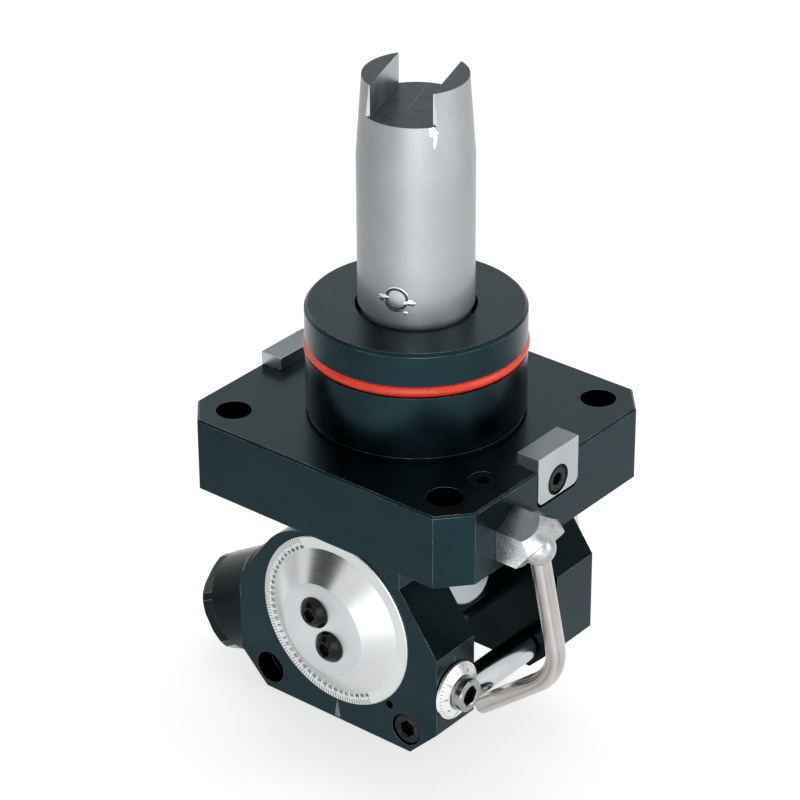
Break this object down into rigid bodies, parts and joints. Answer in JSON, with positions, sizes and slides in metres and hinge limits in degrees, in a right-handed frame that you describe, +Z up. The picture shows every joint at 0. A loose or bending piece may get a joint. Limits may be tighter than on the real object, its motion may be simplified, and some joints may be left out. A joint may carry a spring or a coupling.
{
  "type": "live tool holder",
  "caption": "Turret-mounted driven tool holder: square flange with pilot and slotted drive shaft above a fork that carries a swivelling collet spindle with angle dials and a coolant pipe.",
  "frame": {"origin": "the drive shaft's axis at the flange's mounting face, the centre of the four bolt holes", "axes": "+Z up along the drive shaft; +Y along the swivel axis, away from the dial side; the spindle points to -X, swung 30 degrees down"},
  "size_m": [0.1248, 0.0817, 0.1841],
  "materials": {
    "black_oxide_steel": "satin black oxide with a blue-grey sheen",
    "ground_steel": "fine turned and ground",
    "bearing_steel": "polished",
    "dial_aluminium": "bright turned, fine graduations",
    "black_screw_steel": "black oxide, slight sheen",
    "stainless_pipe": "bright drawn stainless",
    "nickel_fitting": "bright machined",
    "bronze": "turned bearing bronze",
    "red_rubber": "moulded, slight gloss",
    "black_rubber": "moulded, matt"
  },
  "bodies": {
    "holder": {"flange_body": "black_oxide_steel", "driving_key_back": "ground_steel", "driving_key_nose": "ground_steel", "key_screw_back": "black_screw_steel", "key_screw_nose": "black_screw_steel", "pilot_seal_ring": "red_rubber", "input_bearing_upper_outer": "bearing_steel", "input_bearing_lower_outer": "bearing_steel", "lower_bearing_clip": "bearing_steel", "shaft_seal": "black_rubber", "coolant_plug": "black_screw_steel", "tie_bar": "ground_steel", "tie_screw_front": "black_screw_steel", "tie_screw_rear": "black_screw_steel", "index_grub_screw": "black_screw_steel"},
    "drive_shaft": {"input_shaft": "ground_steel", "drive_sleeve": "ground_steel", "cross_pin": "ground_steel", "input_pinion": "ground_steel", "input_bearing_upper_inner": "bearing_steel", "input_bearing_lower_inner": "bearing_steel"},
    "idler": {"idler_gear": "ground_steel", "idler_shaft": "ground_steel"},
    "swivel_head": {"swivel_housing": "black_oxide_steel", "rear_cover": "dial_aluminium", "angle_dial": "dial_aluminium", "worm_wheel_trunnion": "ground_steel", "rear_trunnion": "ground_steel", "rear_dial": "dial_aluminium", "dial_screw_1": "black_screw_steel", "dial_screw_2": "black_screw_steel", "trunnion_screw_1": "black_screw_steel", "trunnion_screw_2": "black_screw_steel", "trunnion_screw_3": "black_screw_steel", "rear_dial_screw_1": "black_screw_steel", "rear_dial_screw_2": "black_screw_steel", "rear_dial_screw_3": "black_screw_steel", "idler_bush": "bronze", "spindle_bearing_rear_outer": "bearing_steel", "spindle_bearing_middle_outer": "bearing_steel", "spindle_bearing_front_outer": "bearing_steel", "bearing_spacer": "ground_steel", "spindle_seal_nut": "black_oxide_steel"},
    "spindle": {"spindle_shaft": "ground_steel", "spindle_pinion": "ground_steel", "collet": "ground_steel", "collet_nut": "black_oxide_steel", "spindle_bearing_rear_inner": "bearing_steel", "spindle_bearing_middle_inner": "bearing_steel", "spindle_bearing_front_inner": "bearing_steel"},
    "worm": {"worm_shaft": "ground_steel", "vernier_dial": "dial_aluminium"},
    "coolant_elbow": {"coolant_outlet": "nickel_fitting", "coolant_pipe": "stainless_pipe"}
  },
  "joints": [
    {"name": "shaft_spin", "type": "hinge", "parent": "holder", "child": "drive_shaft", "pos_m": [0, 0, 0], "axis": [0, 0, 1], "continuous": true},
    {"name": "idler_spin", "type": "hinge", "parent": "holder", "child": "idler", "pos_m": [0, 0, -0.0477], "axis": [0, 1, 0], "continuous": true},
    {"name": "head_swivel", "type": "hinge", "parent": "holder", "child": "swivel_head", "pos_m": [0, 0, -0.0477], "axis": [0, -1, 0], "range_deg": [-30, 60]},
    {"name": "spindle_spin", "type": "hinge", "parent": "swivel_head", "child": "spindle", "pos_m": [0, 0, -0.0477], "axis": [-0.866, 0, -0.5], "continuous": true},
    {"name": "worm_turn", "type": "hinge", "parent": "holder", "child": "worm", "pos_m": [0, -0.0249, -0.0584], "axis": [1, 0, 0], "range_deg": [-2400, 1200]},
    {"name": "coolant_swing", "type": "hinge", "parent": "holder", "child": "coolant_elbow", "pos_m": [0.0439, -0.0174, -0.0126], "axis": [1, 0, 0], "range_deg": [-10, 0]}
  ],
  "couplings": [
    {"joint": "idler_spin", "follows": "shaft_spin", "ratio": -0.7},
    {"joint": "spindle_spin", "follows": "shaft_spin", "ratio": 1},
    {"joint": "worm_turn", "follows": "head_swivel", "ratio": -40}
  ]
}
